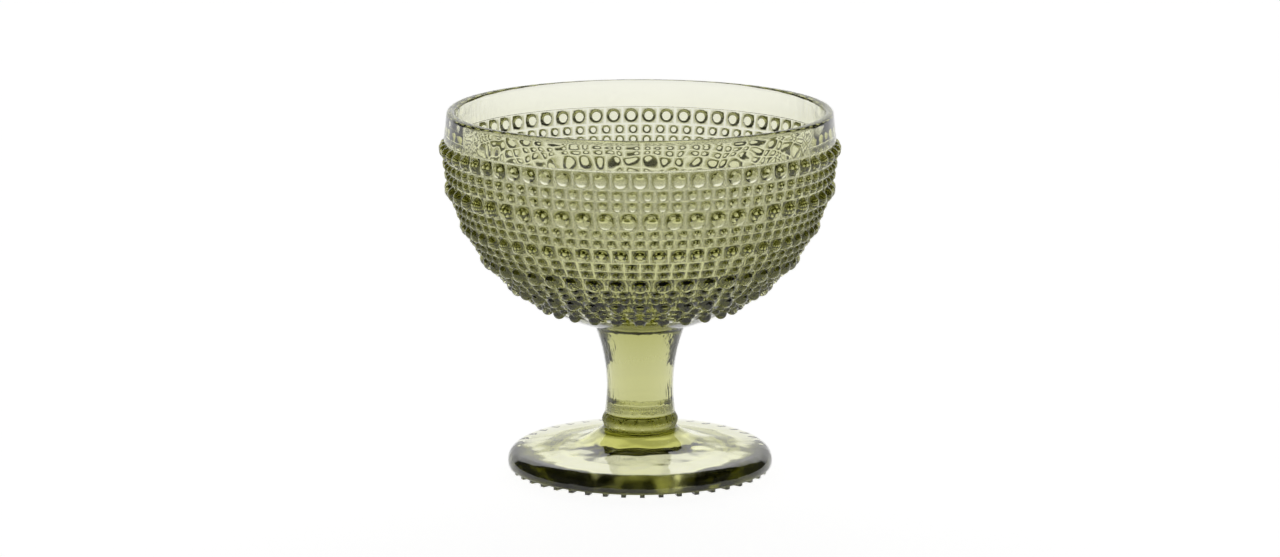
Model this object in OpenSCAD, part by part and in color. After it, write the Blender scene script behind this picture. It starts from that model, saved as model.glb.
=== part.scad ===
// Footed ice cream glass in one piece of pressed glass, with rows of round beads round the bowl.
// Millimetres, +Z up, origin on the surface that the glass stands on, under the middle of its foot.

/* [Bowl] */
// Height of the whole glass
glass_h = 102.5; // [96:0.5:112]
// Radius of the bowl's round outside, under the beads
wall_r = 55.3; // [54:0.1:58]
// Depth of that round's centre below the top of the glass
wall_drop = 6.6; // [5:0.1:8]
// Thickness of the wall at the lip's inside
wall_t = 3.1; // [2.8:0.1:4]
// Thickness of the glass under the hollow
floor_t = 6.1; // [5.5:0.1:7.5]

/* [Rim] */
// Height of the smooth band round the mouth
band_h = 7.7; // [6:0.1:9]
// How far the band's lower edge stands out from the wall
band_step = 0.25; // [0.1:0.05:0.6]
// Thickness of the round lip
lip_t = 2.6; // [2.2:0.1:2.8]

/* [Beads] */
// Widths of the rows of big beads, from the top down
big_d = [4.2, 5, 4.3, 4.8, 4.6, 4.4]; // [3.6:0.1:5.2]
// Widths of the two rows of small beads under each row of big ones
small_d = [2.85, 2.9, 2.9, 2.6, 2.7]; // [2.2:0.05:3]
// Number of big beads in each row
big_count = [68, 57, 60, 45, 37, 28]; // [20:1:70]
// Number of small beads in each row
small_count = [88, 88, 74, 61, 48]; // [40:1:92]
// Height of a bead as a share of its width
bead_rise = 0.4; // [0.37:0.01:0.46]
// Gap between two rows
row_gap = 0.3; // [0.25:0.01:0.32]

/* [Stem] */
// Radius of the stem at its waist
waist_r = 9.6; // [8.5:0.1:11]
// Height of the waist
waist_z = 21.5; // [19:0.5:25]
// Radius of the curve along the stem's side
stem_curve_r = 53; // [48:1:65]
// Outer radius of the collar between stem and foot
collar_r = 10.9; // [10.6:0.1:12]
// Height of the collar's middle
collar_z = 13.2; // [12.5:0.1:14]
// Height of the collar
collar_h = 3.6; // [3:0.1:4.4]

/* [Foot] */
// Radius of the foot
foot_r = 38; // [35:0.5:42]
// Height of the foot's upper edge, where the round edge begins
foot_edge_z = 3.1; // [2.8:0.1:4]
// Angle at which the foot's top rises to the stem
foot_slope = 9.6; // [7:0.2:10]
// Radius of the hollow curve between foot and stem
flare_r = 16.8; // [14:0.2:18]
// Radius of the round upper edge
edge_r = 2.2; // [1.5:0.1:2.4]
// Radius of the lower edge
low_edge_r = 0.4; // [0.2:0.1:0.6]
// Radius of the shallow recess under the foot
recess_r = 31; // [26:0.5:32]
// Depth of the recess
recess_depth = 0.9; // [0.5:0.1:1.4]
// Width of the ring that the glass stands on
ring_w = 2.4; // [1.6:0.1:2.8]
// Number of lugs outside that ring
lug_count = 44; // [30:1:60]
// Width of a lug
lug_w = 1.3; // [0.8:0.1:2]
// Height of the lugs and of the ring
lug_h = 0.6; // [0.4:0.05:0.8]

/* [Hidden] */
$fn = 96;
arc_steps = 10;
wall_z = glass_h - wall_drop;
band_z = glass_h - band_h;
hollow_r = wall_r - wall_t;
hollow_z = wall_z - wall_r + floor_t + hollow_r;
lip_r = lip_t / 2;
neck_z = collar_z - collar_h / 2 - 0.1;
courses = len(small_d);

function stem_radius(z) = waist_r + stem_curve_r - sqrt(pow(stem_curve_r, 2) - pow(z - waist_z, 2));

function arc(centre, r, from, to, steps = arc_steps) =
    [for (i = [0:steps]) let (a = from + (to - from) * i / steps) centre + r * [cos(a), sin(a)]];

// Rows of beads: their widths from the band down, and the angle below the wall's widest level to each row's middle
widths = concat([for (i = [0:courses - 1], row = [0:2]) row == 0 ? big_d[i] : small_d[i]], [big_d[courses]]);
counts = concat([for (i = [0:courses - 1], row = [0:2]) row == 0 ? big_count[i] : small_count[i]],
    [big_count[courses]]);
first_edge = asin((wall_z - band_z) / wall_r);
function along_wall(way) = way / wall_r * 180 / PI;
function row_edge(i) = i == 0 ? first_edge : row_edge(i - 1) + along_wall(widths[i - 1] + row_gap);
function row_angle(i) = row_edge(i) + along_wall((widths[i] + row_gap) / 2);

// A ball whose cap stands out of the wall as a bead of that width, on an axis through the wall's centre
module bead(width) {
    rise = width * bead_rise;
    ball_r = (pow(width / 2, 2) + pow(rise, 2)) / (2 * rise);
    seat = sqrt(pow(wall_r, 2) - pow(width / 2, 2));
    translate([0, 0, seat + rise - ball_r]) sphere(r = ball_r, $fn = 24);
}

module beads() {
    for (i = [0:len(widths) - 1], k = [0:counts[i] - 1])
        translate([0, 0, wall_z]) rotate([0, 90 + row_angle(i), 90 + 360 * (k + 0.5) / counts[i]]) bead(widths[i]);
}

module bowl_section() {
    difference() {
        union() {
            intersection() {
                translate([0, wall_z]) circle(r = wall_r);
                square([wall_r, band_z]);
            }
            polygon([[0, band_z], [wall_r + band_step, band_z], [hollow_r + lip_t, glass_h - lip_r],
                [0, glass_h - lip_r]]);
            translate([hollow_r + lip_r, glass_h - lip_r]) circle(r = lip_r);
        }
        translate([0, hollow_z]) circle(r = hollow_r);
        translate([-1, hollow_z]) square([hollow_r + 1, glass_h]);
    }
}

module stem_section() {
    difference() {
        translate([0, neck_z]) square([waist_r + stem_curve_r / 2, wall_z - wall_r + floor_t / 2 - neck_z]);
        translate([waist_r + stem_curve_r, waist_z]) circle(r = stem_curve_r, $fn = 240);
    }
    translate([0, collar_z]) intersection() {
        translate([collar_r - collar_h / 2, 0]) circle(r = collar_h / 2);
        translate([0, -collar_h]) square([collar_r, 2 * collar_h]);
    }
}

module foot_section() {
    neck = [stem_radius(neck_z), neck_z];
    edge_centre = [foot_r - edge_r, foot_edge_z - edge_r];
    uphill = [-cos(foot_slope), sin(foot_slope)];
    outward = [sin(foot_slope), cos(foot_slope)];
    top_edge = edge_centre + edge_r * outward;
    // The flare's circle touches the sloping top and passes through the neck.
    reach = (neck - top_edge) * uphill - sqrt(pow(flare_r, 2) - pow((neck - top_edge) * outward - flare_r, 2));
    flare_centre = top_edge + reach * uphill + flare_r * outward;
    to_neck = neck - flare_centre;
    polygon(concat(
        [[0, recess_depth], [recess_r - recess_depth, recess_depth], [recess_r, 0],
            [recess_r + ring_w, 0], [recess_r + ring_w, lug_h]],
        arc([foot_r - low_edge_r, lug_h + low_edge_r], low_edge_r, -90, 0, 4),
        arc(edge_centre, edge_r, 0, 90 - foot_slope),
        arc(flare_centre, flare_r, 270 - foot_slope, 360 + atan2(to_neck[1], to_neck[0])),
        [[0, neck_z]]));
}

// A lug from the ring to just inside the foot's lower edge, with a round outer end
module lug() {
    reach = foot_r - low_edge_r - lug_w / 2 - 0.2;
    linear_extrude(lug_h + 0.4)
        polygon(concat([[recess_r + ring_w / 2, lug_w / 2], [recess_r + ring_w / 2, -lug_w / 2]],
            arc([reach, 0], lug_w / 2, -90, 90, 6)));
}

module body() {
    rotate(90) rotate_extrude() {
        bowl_section();
        stem_section();
        foot_section();
    }
    for (i = [0:lug_count - 1]) rotate(90 + 360 * (i + 0.5) / lug_count) lug();
}

module glass() {
    color([0.66, 0.7, 0.38, 0.6]) {
        body();
        beads();
    }
}

glass();
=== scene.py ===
# %% [markdown]
# # A footed ice cream glass
# The object is one piece of pressed olive green glass. A round bowl with sixteen rows of beads
# stands on a waisted stem and a round foot. The frame gives the glass as exact solids. Here it gets
# a mesh that bends light cleanly, and a glass material with real depth of colour.

# %% Frame and units
import math

import bmesh
import bpy
from mathutils import Matrix, Vector


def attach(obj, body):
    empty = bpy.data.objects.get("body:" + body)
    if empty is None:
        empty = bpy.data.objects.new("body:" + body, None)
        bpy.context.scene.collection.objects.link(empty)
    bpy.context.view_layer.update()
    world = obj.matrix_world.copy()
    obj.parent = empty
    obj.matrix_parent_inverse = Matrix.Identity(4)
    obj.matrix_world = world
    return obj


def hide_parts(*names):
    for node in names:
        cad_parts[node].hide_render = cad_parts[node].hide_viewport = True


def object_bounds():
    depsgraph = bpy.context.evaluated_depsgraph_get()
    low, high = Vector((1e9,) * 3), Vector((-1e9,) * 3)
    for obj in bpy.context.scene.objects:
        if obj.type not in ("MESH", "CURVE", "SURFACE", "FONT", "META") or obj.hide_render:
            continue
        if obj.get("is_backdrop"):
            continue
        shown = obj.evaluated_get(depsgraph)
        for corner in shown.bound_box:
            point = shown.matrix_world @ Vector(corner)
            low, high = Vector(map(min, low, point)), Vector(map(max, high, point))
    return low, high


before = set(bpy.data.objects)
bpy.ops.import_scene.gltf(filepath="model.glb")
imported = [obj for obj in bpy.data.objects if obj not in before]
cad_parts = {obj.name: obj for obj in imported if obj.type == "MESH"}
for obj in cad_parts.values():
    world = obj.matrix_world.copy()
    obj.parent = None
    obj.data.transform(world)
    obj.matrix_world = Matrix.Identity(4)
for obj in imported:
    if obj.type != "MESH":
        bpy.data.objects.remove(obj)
cad_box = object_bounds()
MM = 0.001


def show_box(name, box):
    print(name, "box from", [round(x, 4) for x in box[0]], "to", [round(x, 4) for x in box[1]])


print("frame nodes:", len(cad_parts))
show_box("frame", cad_box)

# %% [markdown]
# ## Sizes
# A glassworks would draw one section of the glass and turn it. These are the sizes of that section
# in millimetres, with +Z up from the table, and angles in degrees. Each course of beads is one row
# of big beads and two rows of small ones. A row takes up a little more of the wall than its beads
# are wide, and a bead stands out by bead_rise times its width.

# %% The section's sizes
glass_h = 102.5
wall_r, wall_drop, wall_t, floor_t = 54.55, 8.07, 3.05, 8.0
band_h, band_step, band_edge_r, band_edge_h, lip_t = 8.27, 0.25, 0.2, 0.5, 2.56
big_d = [4.09, 4.82, 4.14, 4.73, 4.14, 3.54]
small_d = [2.56, 2.46, 2.56, 2.56, 2.17]
big_row = [5.12, 5.42, 4.92, 4.87, 4.53, 3.94]
small_row = [3.1, 2.95, 3.0, 2.9, 2.66]
big_count = [65, 54, 59, 43, 35, 27]
small_count = [84, 83, 68, 57, 46]
bead_rise = 0.44
waist_r, waist_z, stem_curve_r = 9.35, 23.43, 48.25
collar_r, collar_z, collar_h = 10.73, 13.88, 3.54
neck_r, neck_gap, stem_gap = 10.24, 0.1, 2
foot_r, edge_r, edge_z, foot_slope, flare_r = 37.42, 3.74, 2.17, 6, 15.75
recess_r, recess_flat_r, recess_bevel = 25.1, 9.85, 0.4
ring_r, lug_count, lug_h, lug_back = 33.5, 44, 1.0, 0.8

wall_z = glass_h - wall_drop
band_z = glass_h - band_h
hollow_r = wall_r - wall_t
hollow_z = wall_z - wall_r + floor_t + hollow_r
lip_r = lip_t / 2
neck_z = collar_z - collar_h / 2 - neck_gap
print("bowl holds a ball of", 2 * hollow_r, "mm, stem is", 2 * waist_r, "mm at its waist")

# %% [markdown]
# ## Curves of the section
# Every curve in the section is a circle's arc, so one helper makes them all. It returns points as
# (radius, height), from one angle to another, with the angle counted from the outward direction. A
# second helper puts points on the straight stretches, because long thin faces shade badly.

# %% Arcs and straights
def arc(centre, r, start, end, steps):
    points = []
    for i in range(steps + 1):
        a = math.radians(start + (end - start) * i / steps)
        points.append((centre[0] + r * math.cos(a), centre[1] + r * math.sin(a)))
    return points


def straight(start, end, parts):
    """The points between two ends, without the ends."""
    return [tuple(a + (b - a) * i / parts for a, b in zip(start, end)) for i in range(1, parts)]


def on_wall(angle):
    """A point of the bowl's wall, by its angle under the wall's widest level."""
    return wall_r * math.cos(math.radians(angle)), wall_z - wall_r * math.sin(math.radians(angle))


def stem_radius(z):
    return waist_r + stem_curve_r - math.sqrt(stem_curve_r**2 - (z - waist_z) ** 2)


first_edge = math.degrees(math.asin((wall_z - band_z) / wall_r))
print("beads start", round(first_edge, 2), "degrees under the wall's widest level")

# %% [markdown]
# ## Rows of beads
# The rows follow each other down the round wall. A row's place is an angle under the wall's widest
# level, found by laying the rows above it along the wall.

# %% Where each row lies
ROWS_PER_COURSE = 3

widths, heights, counts = [], [], []
for course in range(len(small_d)):
    widths += [big_d[course], small_d[course], small_d[course]]
    heights += [big_row[course], small_row[course], small_row[course]]
    counts += [big_count[course], small_count[course], small_count[course]]
widths.append(big_d[-1])
heights.append(big_row[-1])
counts.append(big_count[-1])

row_edges = [first_edge]
for height in heights:
    row_edges.append(row_edges[-1] + math.degrees(height / wall_r))
print(sum(counts), "beads in", len(widths), "rows")
print("the last row ends at", round(row_edges[-1], 1), "degrees")

# %% [markdown]
# ## Growing and spinning
# Two moves make most of this mesh. A disc's rim is drawn outwards into the next ring, and a shape
# is spun round the glass's axis, either as copies of itself or as the skin that it sweeps.

# %% Helpers for meshes
MIDDLE, UP = (0, 0, 0), (0, 0, 1)


def verts_of(geom):
    return [v for v in geom if isinstance(v, bmesh.types.BMVert)]


def grow(bm, rim, factor):
    grown = bmesh.ops.extrude_edge_only(bm, edges=rim)["geom"]
    verts = verts_of(grown)
    bmesh.ops.scale(bm, verts=verts, vec=(factor, factor, 1))
    edges = [e for e in grown if isinstance(e, bmesh.types.BMEdge)]
    return verts, [e for e in edges if all(v in verts for v in e.verts)]


def spin(bm, geom, angle, steps, **way):
    bmesh.ops.spin(bm, geom=geom, cent=MIDDLE, axis=UP, dvec=MIDDLE, angle=angle, steps=steps, **way)


def add_band(bm, make, *given):
    """Makes a band in a mesh of its own, which is quicker, and adds it to bm."""
    band, mesh = bmesh.new(), bpy.data.meshes.new("band")
    make(band, *given)
    band.to_mesh(mesh)
    band.free()
    bm.from_mesh(mesh)
    bpy.data.meshes.remove(mesh)


print("mesh helpers are ready, blender", bpy.app.version_string)

# %% [markdown]
# ## One bead and the wall round it
# A pressed bead is the cap of a ball that stands out of the wall. It could be displaced from a fine
# grid, but then its rim would be ragged. Here a small disc is grown outwards ring by ring. The
# rings up to the rim lie on the ball. The last ring goes out to the edges of a rectangle, which is
# the bead's share of the wall, so that a row becomes one band. Each point also keeps how near it
# lies to the bead's rim, where the glass turns away and grows dark. The glass material reads this
# to paint shade there.

# %% A bead's cell
# Each disc has a number of sides, and its rings as shares of the bead's radius
BIG_DISC, SMALL_DISC = (16, (0.26, 0.5, 0.72, 0.9, 1)), (12, (0.32, 0.62, 0.88, 1))
# The disc is turned so that some of its points face the rectangle's corners
CORNER = 45
# The painted shade on a bead's rim starts at this share of the bead's radius, and the wall between beads
# has none of it
RIM_START, BETWEEN_BEADS = 0.78, 0.0


def bead_cell(bm, width, middle, half_height, half_turn, sides, rings):
    """A bead on the +X side of the wall, in an empty mesh, with angles in degrees."""
    # How near each point lies to the bead's rim, which the glass material turns into painted shade
    painted_rim_shade = bm.verts.layers.float.new("rim")
    rim_r, rise = width / 2, width * bead_rise
    ball_r = (rim_r**2 + rise**2) / (2 * rise)
    seat = math.sqrt(wall_r**2 - rim_r**2)
    r = rim_r * rings[0]
    disc = bmesh.ops.create_circle(bm, cap_ends=True, cap_tris=True, segments=sides, radius=r)["verts"]
    corner = Matrix.Rotation(math.radians(CORNER), 3, "Z")
    bmesh.ops.rotate(bm, verts=disc, cent=MIDDLE, matrix=corner)
    cap = list(disc)
    rim = [e for e in bm.edges if e.is_boundary]
    for nearer, further in zip(rings, rings[1:]):
        verts, rim = grow(bm, rim, further / nearer)
        cap += verts
    for v in cap:
        v.co.z = seat + rise - ball_r + math.sqrt(ball_r**2 - v.co.x**2 - v.co.y**2)
        v[painted_rim_shade] = min(max((v.co.xy.length / rim_r - RIM_START) / (1 - RIM_START), 0), 1)
    place = Matrix.Translation((0, 0, wall_z)) @ Matrix.Rotation(math.radians(90 + middle), 4, "Y")
    bmesh.ops.transform(bm, matrix=place, verts=cap)
    border, rim = grow(bm, rim, 1)
    back = place.inverted()
    for v in border:
        flat = back @ v.co
        reach = max(abs(flat.x), abs(flat.y))
        down = math.radians(middle + flat.x / reach * half_height)
        around = math.radians(flat.y / reach * half_turn)
        out = wall_r * math.cos(down)
        v.co = (out * math.cos(around), out * math.sin(around), wall_z - wall_r * math.sin(down))
        v[painted_rim_shade] = BETWEEN_BEADS


test = bmesh.new()
bead_cell(test, big_d[0], 0, 1, 1, *BIG_DISC)
print("a big bead's cell has", len(test.faces), "faces")
test.free()

# %% [markdown]
# ## Rows
# A row is one cell, copied round the axis. A gap between two beads lies exactly at the back, so a
# row with an odd count has a bead facing the camera and one with an even count has a gap there. The
# cells' edges meet, and their doubled points are welded. A thin strip between rows stays open and
# is bridged later, because two rows have different numbers of points.

# %% All rows
# Both in millimetres: half the open strip between two rows, and how near doubled points lie
STRIP, WELD = 0.06, 0.002


def bead_row(bm, i):
    disc = SMALL_DISC if i % ROWS_PER_COURSE else BIG_DISC
    count, middle = counts[i], (row_edges[i] + row_edges[i + 1]) / 2
    half_height = (row_edges[i + 1] - row_edges[i]) / 2 - math.degrees(STRIP / wall_r)
    bead_cell(bm, widths[i], middle, half_height, 180 / count, *disc)
    beside_back = Matrix.Rotation(math.pi / 2 + math.pi / count, 3, "Z")
    bmesh.ops.rotate(bm, verts=bm.verts, cent=MIDDLE, matrix=beside_back)
    cell = bm.verts[:] + bm.edges[:] + bm.faces[:]
    spin(bm, cell, math.tau * (count - 1) / count, count - 1, use_duplicate=True)
    bmesh.ops.remove_doubles(bm, verts=bm.verts, dist=WELD)


glass = bmesh.new()
for i in range(len(widths)):
    add_band(glass, bead_row, i)
print("beads have", len(glass.faces), "faces")

# %% [markdown]
# ## The turned parts
# Lip, hollow, stem and foot are turned: half of the section is drawn as a line of edges and spun
# round the axis. The section comes in two lines, because the rows of beads fill the stretch between
# them. The number of steps is a multiple of the number of lugs, so that each lug later gets a face
# of its own.

# %% Lip and hollow
FACES_PER_LUG = 4
STEPS = lug_count * FACES_PER_LUG
HOLLOW_STEPS, LIP_STEPS, BAND_STEPS = 30, 14, 3
# The upper line ends this many degrees down the wall, just above the first row
WALL_START = 0.02


def turned(bm, points):
    verts = [bm.verts.new((r, 0, z)) for r, z in points]
    line = [bm.edges.new(pair) for pair in zip(verts, verts[1:])]
    spin(bm, verts + line, math.tau, STEPS, use_merge=True)


band_foot = wall_r + band_step
lip_z = glass_h - lip_r
lip_line = (
    arc((0, hollow_z), hollow_r, -90, 0, HOLLOW_STEPS)
    + straight((hollow_r, hollow_z), (hollow_r, lip_z), 2)
    + arc((hollow_r + lip_r, lip_z), lip_r, 180, 0, LIP_STEPS)
    + straight((hollow_r + lip_t, lip_z), (band_foot, band_z), 2)
    + [(band_foot, band_z + band_edge_h)]
    + arc((band_foot - band_edge_r, band_z + band_edge_r), band_edge_r, 0, -90, BAND_STEPS)
    + [on_wall(first_edge + WALL_START)]
)
add_band(glass, turned, lip_line)
print("lip and hollow turned from", len(lip_line), "points")

# %% [markdown]
# ## Where the foot's curves meet
# The foot's top is a straight slope. A round border touches it on the outside and a hollow flare on
# the inside, and the flare has to end exactly at the neck. The slope's direction and its normal
# turn that into a sum with one square root.

# %% The foot's slope, border and flare
slope = math.radians(foot_slope)
uphill = Vector((-math.cos(slope), math.sin(slope)))
outward = Vector((math.sin(slope), math.cos(slope)))
neck = Vector((neck_r, neck_z))
edge_centre = Vector((foot_r - edge_r, edge_z))
top_edge = edge_centre + edge_r * outward

to_neck = neck - top_edge
reach = to_neck.dot(uphill) - math.sqrt(flare_r**2 - (to_neck.dot(outward) - flare_r) ** 2)
flat_start = top_edge + reach * uphill
flare_centre = flat_start + flare_r * outward
flare_end = math.degrees(math.atan2(neck.y - flare_centre.y, neck.x - flare_centre.x)) % 360
border_end = -math.degrees(math.asin((edge_z - lug_h) / edge_r))
print("foot top is straight from", round(flat_start.x, 1), "to", round(top_edge.x, 1), "mm")

# %% [markdown]
# ## Stem and foot
# The second line runs from the last row of beads, over the bowl's underside, down the waisted stem,
# round the collar and the foot, and in under it. Stem and wall meet at a height that depends on
# both curves, so it is found by putting one into the other until it stays the same. The underside
# is hidden in the photograph: a ring to stand on and a shallow recess are what pressed feet usually
# have.

# %% The stem and foot line
MEETING_TRIES = 40
UNDERSIDE_STEPS, STEM_STEPS, COLLAR_STEPS, FLARE_STEPS, BORDER_STEPS, SLOPE_PARTS = 8, 22, 8, 12, 14, 4
COLLAR_TOP, COLLAR_FOOT = 40, -40

stem_top, stem_foot = waist_z, collar_z + stem_gap
for _ in range(MEETING_TRIES):
    stem_top = wall_z - math.sqrt(wall_r**2 - stem_radius(stem_top) ** 2)
stem_heights = [stem_top - (stem_top - stem_foot) * i / STEM_STEPS for i in range(STEM_STEPS + 1)]
stem_angle = math.degrees(math.acos(stem_radius(stem_top) / wall_r))
to_stem = stem_angle - row_edges[-1]
wall_angles = [row_edges[-1] + to_stem * i / UNDERSIDE_STEPS for i in range(UNDERSIDE_STEPS)]
bevel_r = recess_r - recess_bevel
recess_h = recess_bevel + (bevel_r - recess_flat_r) * math.tan(slope)
lug_in, lug_out = ring_r + lug_h, foot_r - lug_back
foot_line = (
    [on_wall(angle) for angle in wall_angles]
    + [(stem_radius(z), z) for z in stem_heights]
    + arc((collar_r - collar_h / 2, collar_z), collar_h / 2, COLLAR_TOP, COLLAR_FOOT, COLLAR_STEPS)
    + arc(flare_centre, flare_r, flare_end, 270 - foot_slope, FLARE_STEPS)
    + straight(flat_start, top_edge, SLOPE_PARTS)
    + arc(edge_centre, edge_r, 90 - foot_slope, border_end, BORDER_STEPS)
    + [(lug_out, lug_h), (lug_in, lug_h), (ring_r, 0), ((ring_r + recess_r) / 2, 0), (recess_r, 0)]
    + [(bevel_r, recess_bevel)]
    + straight((bevel_r, recess_bevel), (recess_flat_r, recess_h), SLOPE_PARTS)
    + [(recess_flat_r, recess_h), (recess_flat_r / 2, recess_h), (0, recess_h)]
)
add_band(glass, turned, foot_line)
print("stem and foot turned from", len(foot_line), "points")

# %% [markdown]
# ## One closed skin
# The bands are separate rings so far. Their open edges are sorted from top to bottom and joined in
# pairs, and what the bridges leave is checked: a glass has to be a closed skin, or light has no
# inside to travel in.

# %% Joining the rings
def open_loops(bm):
    waiting = dict.fromkeys(e for e in bm.edges if e.is_boundary)
    found = []
    while waiting:
        loop, front = [], [waiting.popitem()[0]]
        while front:
            e = front.pop()
            loop.append(e)
            for beside in (n for v in e.verts for n in v.link_edges if n in waiting):
                del waiting[beside]
                front.append(beside)
        found.append(loop)
    return sorted(found, key=lambda loop: -sum(e.verts[0].co.z for e in loop) / len(loop))


bmesh.ops.remove_doubles(glass, verts=glass.verts, dist=WELD)
loops = open_loops(glass)
for upper, lower in zip(loops[::2], loops[1::2]):
    bmesh.ops.bridge_loops(glass, edges=upper + lower)
print(len(loops), "open loops joined,", sum(e.is_boundary for e in glass.edges), "edges left open")

# %% [markdown]
# ## Lugs under the foot
# The lugs are short ribs under the foot's border. Every fourth face of the border's underside is
# drawn down.

# %% Lugs
SAME_LEVEL = 0.01


def on_border(face):
    middle = face.calc_center_median()
    return abs(middle.z - lug_h) < SAME_LEVEL and lug_in < middle.xy.length < lug_out


def turn_steps(face):
    """How many steps of the spin lie between the +X axis and a face."""
    middle = face.calc_center_median()
    return round(math.degrees(math.atan2(middle.y, middle.x)) % 360 * STEPS / 360 - 0.5)


lugs = [f for f in glass.faces if on_border(f) and turn_steps(f) % FACES_PER_LUG == 0]
drawn = bmesh.ops.extrude_face_region(glass, geom=lugs)["geom"]
bmesh.ops.delete(glass, geom=lugs, context="FACES_KEEP_BOUNDARY")
bmesh.ops.translate(glass, vec=(0, 0, -lug_h), verts=verts_of(drawn))
bmesh.ops.recalc_face_normals(glass, faces=glass.faces)
print(len(lugs), "lugs;", sum(not e.is_manifold for e in glass.edges), "edges not closed")
print(round(glass.calc_volume(signed=True)), "mm3 of glass")
print(sum(len(f.verts) - 2 for f in glass.faces), "triangles")

# %% [markdown]
# ## A fixed order
# The tools above give the same points and faces each time, but not always in the same order. Sorting
# them by place makes the mesh repeat exactly.

# %% Order of points, edges and faces
def put_in_order(items, key):
    for i, item in enumerate(sorted(items, key=key)):
        item.index = i
    items.sort()


put_in_order(glass.verts, lambda v: v.co[:])
put_in_order(glass.edges, lambda e: sorted(v.index for v in e.verts))
put_in_order(glass.faces, lambda f: sorted(v.index for v in f.verts))
print(len(glass.verts), "points,", len(glass.edges), "edges and", len(glass.faces), "faces put in order")

# %% [markdown]
# ## Into the scene
# The skin was drawn in millimetres and the scene is in metres, so it is scaled here. Smooth shading
# hides the edges between its faces. The glass is one piece that never moves, so it rides the root
# body. It stands in for the frame's glass node.

# %% Into the scene
bmesh.ops.scale(glass, vec=(MM, MM, MM), verts=glass.verts)
glass_mesh = bpy.data.meshes.new("pressed_glass")
glass.to_mesh(glass_mesh)
glass.free()
for polygon in glass_mesh.polygons:
    polygon.use_smooth = True
glass_piece = bpy.data.objects.new("pressed_glass", glass_mesh)
bpy.context.scene.collection.objects.link(glass_piece)
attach(glass_piece, "root")
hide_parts("glass")
print("glass piece has", len(glass_mesh.vertices), "points")

# %% [markdown]
# ## Shader sums
# Materials and the studio are built from nodes. A small class wraps a socket, so that sums are
# written as plain Python. Its one method for any other node takes the node's type, its settings and
# what its sockets hold.

# %% A wired socket
class Wire:
    def __init__(self, tree, socket=None):
        self.tree, self.socket = tree, socket

    def node(self, kind, settings=(), sockets=(), output=0):
        made = self.tree.nodes.new(kind)
        for name, value in dict(settings).items():
            setattr(made, name, value)
        for name, value in dict(sockets).items():
            if isinstance(value, Wire):
                self.tree.links.new(value.socket, made.inputs[name])
            else:
                made.inputs[name].default_value = value
        return Wire(self.tree, made.outputs[output])

    def feed(self, socket):
        self.tree.links.new(self.socket, socket)

    def maths(self, operation, *values):
        return self.node("ShaderNodeMath", {"operation": operation}, dict(enumerate(values)))

    def __add__(self, other):
        return self.maths("ADD", self, other)

    def __rsub__(self, other):
        return self.maths("SUBTRACT", other, self)

    def __mul__(self, other):
        return self.maths("MULTIPLY", self, other)

    __radd__, __rmul__ = __add__, __mul__

    def between(self, low, high):
        """0 below low, 1 above high and a smooth rise between them."""
        limits = {"Value": self, "From Min": low, "From Max": high}
        return self.node("ShaderNodeMapRange", {"interpolation_type": "SMOOTHSTEP"}, limits)

    def noise(self, scale, detail):
        looks = {"Vector": self, "Scale": scale, "Detail": detail}
        return self.node("ShaderNodeTexNoise", sockets=looks)


def new_material(name):
    material = bpy.data.materials.new(name)
    material.use_nodes = True
    tree = material.node_tree
    return material, Wire(tree), tree.nodes["Principled BSDF"], tree.nodes["Material Output"]


print("a wire knows", [name for name in vars(Wire) if not name.startswith("_")])

# %% [markdown]
# ## Olive glass
# Pressed glass is coloured through and through, so the colour belongs in the volume: thin lips stay
# pale and the thick foot turns deep olive. The surface itself is clear, apart from painted shade at
# the beads' rims. Pressing leaves it slightly wavy, which bends what is seen through it. The stem
# shows drawn out streaks, and the collar is rough where stem and foot were joined. Hands and
# dishcloths leave the glass not quite evenly clean.

# %% The glass's numbers
# Heights in millimetres between which a zone fades in or out
STEM_SPAN, BOWL_SPAN = (16, 18), (40, 42)
COLLAR_LOW, COLLAR_HIGH = (collar_z - 2.2, collar_z - 1.7), (collar_z + 1.7, collar_z + 2.2)
WORN_BASE, FOOT_TOP = (lug_h + 0.1, lug_h + 0.4), (9, 11)
# Scale and detail of each noise, and how far the streaks are drawn out
WAVES, STREAKS, SMEARS, CHATTER = (110.0, 1.0), (420.0, 2.0), (45.0, 4.0), (700.0, 2.0)
DRAWN_OUT = (1, 1, 0.12)
# How much each noise counts in the relief, and the relief's strength and depth
FOOT_WAVES, STEM_STREAKS, COLLAR_CHATTER = 1.2, 2.2, 0.8
RELIEF, RELIEF_DEPTH = 0.8, 0.0003
# What smears, collar and worn base add to the roughness
SMEAR_SPAN, SMEAR_ROUGH = (0.45, 0.8), 0.03
CHATTER_SPAN, CHATTER_ROUGH, WORN_ROUGH = (0.3, 0.5), 0.5, 0.13
# The second colour is painted shade, which darkens the glass towards the beads' rims
CLEAR, RIM_PAINTED_SHADE = (1, 1, 1, 1), (0.24, 0.24, 0.08, 1)
GLASS_IOR, OLIVE, DENSITY = 1.52, (0.65, 0.655, 0.17, 1), 95.0
print("olive glass lets", OLIVE[:3], "through, density", DENSITY)

# %% [markdown]
# ## Wiring the glass
# Heights above the table pick out the foot, the stem and the collar. The noises make the relief and
# the roughness of each, the beads' rims get painted shade, and the volume gets the olive.

# %% Glass
# A Mix node has its factor, its colours and its result in these sockets
MIX_FACTOR, MIX_FIRST, MIX_SECOND, MIX_RESULT = 0, 6, 7, 2


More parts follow.
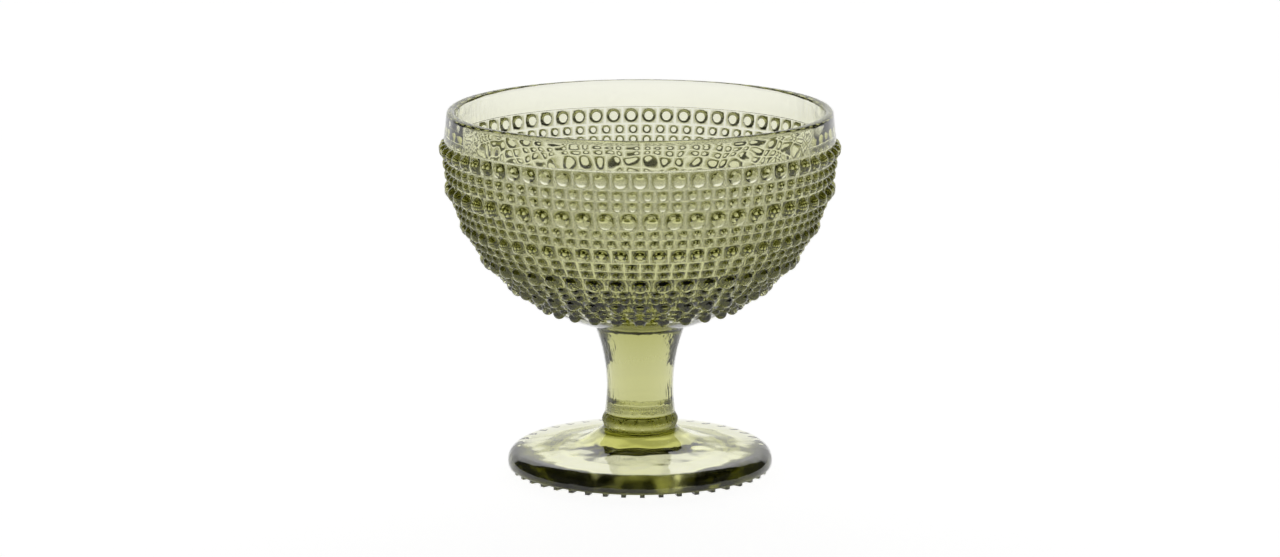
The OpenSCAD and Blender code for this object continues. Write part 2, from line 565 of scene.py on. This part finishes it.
def olive_glass():
    material, start, surface, output = new_material("olive_glass")
    place = start.node("ShaderNodeTexCoord", output="Object")
    height = start.node("ShaderNodeSeparateXYZ", sockets={0: place}, output="Z") * (1 / MM)
    on_stem = height.between(*STEM_SPAN) * (1 - height.between(*BOWL_SPAN))
    on_collar = height.between(*COLLAR_LOW) * (1 - height.between(*COLLAR_HIGH))
    on_foot = 1 - height.between(*FOOT_TOP)
    worn = 1 - height.between(*WORN_BASE)

    waves, smears, chatter = place.noise(*WAVES), place.noise(*SMEARS), place.noise(*CHATTER)
    drawn = start.node("ShaderNodeMapping", sockets={"Vector": place, "Scale": DRAWN_OUT})
    streaks = drawn.noise(*STREAKS)
    relief = waves * (1 + FOOT_WAVES * on_foot) + streaks * on_stem * STEM_STREAKS
    relief = relief + chatter * on_collar * COLLAR_CHATTER
    bumps = {"Height": relief, "Strength": RELIEF, "Distance": RELIEF_DEPTH}
    start.node("ShaderNodeBump", sockets=bumps).feed(surface.inputs["Normal"])
    rough = smears.between(*SMEAR_SPAN) * SMEAR_ROUGH
    rough = rough + on_collar * chatter.between(*CHATTER_SPAN) * CHATTER_ROUGH + worn * WORN_ROUGH
    rough.feed(surface.inputs["Roughness"])

    # Painted shade: the glass is darkened towards each bead's rim, where real glass would look dark
    rim = start.node("ShaderNodeAttribute", {"attribute_name": "rim"}, output="Fac")
    colours = {MIX_FACTOR: rim, MIX_FIRST: CLEAR, MIX_SECOND: RIM_PAINTED_SHADE}
    painted_shade = start.node("ShaderNodeMix", {"data_type": "RGBA"}, colours, MIX_RESULT)
    painted_shade.feed(surface.inputs["Base Color"])
    surface.inputs["Transmission Weight"].default_value = 1
    surface.inputs["IOR"].default_value = GLASS_IOR
    volume = {"Color": OLIVE, "Density": DENSITY}
    start.node("ShaderNodeVolumeAbsorption", sockets=volume).feed(output.inputs["Volume"])
    return material


glass_mesh.materials.append(olive_glass())
print("glass material has", len(glass_mesh.materials[0].node_tree.nodes), "nodes")

# %% [markdown]
# ## Floor
# The glass stands on white paper. The light that reaches the paper is less than white, so rays that
# come from the camera get the missing part added, which leaves a faint shadow. Rays that come
# through the glass or off it get it too, so that the glass shows white paper from every side. The
# paper lies a hair under the foot, because two faces in one place would let no light in between.

# %% White paper
# Half the floor's width in metres, its gap under the foot in millimetres, its grey and what is added
FLOOR_HALF, FLOOR_GAP, PAPER, ADDED = 3, 0.2, 0.5, 0.94
WHITE = (1, 1, 1, 1)


def white_paper():
    material, start, surface, output = new_material("white_paper")
    surface.inputs["Base Color"].default_value = (PAPER, PAPER, PAPER, 1)
    surface.inputs["Specular IOR Level"].default_value = 0
    paper = Wire(start.tree, surface.outputs[0])
    kinds = ("Is Camera Ray", "Is Glossy Ray", "Is Transmission Ray")
    straight_on, mirrored, through = [start.node("ShaderNodeLightPath", output=kind) for kind in kinds]
    glow = start.node("ShaderNodeEmission", sockets={"Color": WHITE, "Strength": ADDED})
    both = start.node("ShaderNodeAddShader", sockets={0: paper, 1: glow})
    lifted = straight_on + mirrored + through
    mixed = start.node("ShaderNodeMixShader", sockets={0: lifted, 1: paper, 2: both})
    mixed.feed(output.inputs["Surface"])
    return material


floor_bm = bmesh.new()
bmesh.ops.create_grid(floor_bm, x_segments=1, y_segments=1, size=FLOOR_HALF)
bmesh.ops.translate(floor_bm, verts=floor_bm.verts, vec=(0, 0, -FLOOR_GAP * MM))
floor_mesh = bpy.data.meshes.new("floor")
floor_bm.to_mesh(floor_mesh)
floor_bm.free()
floor_mesh.materials.append(white_paper())
floor = bpy.data.objects.new("floor", floor_mesh)
bpy.context.scene.collection.objects.link(floor)
floor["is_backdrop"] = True
print("floor is", 2 * FLOOR_HALF, "m wide")

# %% [markdown]
# ## Studio
# Clear glass shows only what stands round it. A photographer puts a bright screen behind it and
# keeps the sides and the ceiling dim: the dim parts draw the dark edges, and the brightest strip of
# the screen lies as a veil on the foot. Here the world holds the screen, by direction, so it lights
# the glass from the same place.

# %% Screen, sides and ceiling
# Brightness of each part, where 1 is white. The tube's comes on top of the screen's
SCREEN, SIDES, CEILING, TUBE = 1.0, 0.06, 0.03, 0.5
# Where the parts fade into each other: radians to the side, and the height of a direction of length 1
SCREEN_EDGE, TUBE_LOW, TUBE_TOP = (0.6, 0.75), (0.25, 0.4), (0.6, 0.62)

world = bpy.data.worlds.new("studio")
world.use_nodes = True
way = Wire(world.node_tree).node("ShaderNodeTexCoord", output="Generated")
x, y, up = [way.node("ShaderNodeSeparateXYZ", sockets={0: way}, output=axis) for axis in "XYZ"]
aside = x.maths("ABSOLUTE", x.maths("ARCTAN2", x, y))
beyond = aside.between(*SCREEN_EDGE)
above = up.between(*TUBE_TOP)
wall = SCREEN + (SIDES - SCREEN) * beyond
tube = up.between(*TUBE_LOW) * (1 - above) * (1 - beyond)
light = wall * (1 - above * (1 - CEILING)) + tube * TUBE
backdrop = world.node_tree.nodes["Background"]
light.feed(backdrop.inputs["Color"])
backdrop.inputs["Strength"].default_value = 1
bpy.context.scene.world = world
print("screen is", round(2 * math.degrees(SCREEN_EDGE[0])), "degrees wide, behind the glass")

# %% [markdown]
# ## Camera
# A product photograph is taken from some distance with a long lens, so that the foot isn't seen
# from much higher up than the rim. The distance and the dip were fitted to the ellipses of the
# photograph's rim and foot and to the rows of beads between them.

# %% Camera
FRAME_W, FOCAL_PX, SENSOR = 1280, 4291, 36
CAMERA_AT, CAMERA_DIP = (0, -1.1816, 0.2967), 11.599

camera_data = bpy.data.cameras.new("camera")
camera_data.sensor_width = SENSOR
camera_data.lens = FOCAL_PX / FRAME_W * SENSOR
camera = bpy.data.objects.new("camera", camera_data)
camera.location = CAMERA_AT
camera.rotation_euler = (math.radians(90 - CAMERA_DIP), 0, 0)
bpy.context.scene.collection.objects.link(camera)
bpy.context.scene.camera = camera
bpy.context.scene.view_settings.view_transform = "Standard"
print("camera has a", round(camera_data.lens), "mm lens and looks down by", CAMERA_DIP, "degrees")

# %% [markdown]
# ## Size and end
# The visual model should fit the exact solids, so its box is printed here, as the frame's box was at
# the start.

new_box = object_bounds()
show_box("visual", new_box)
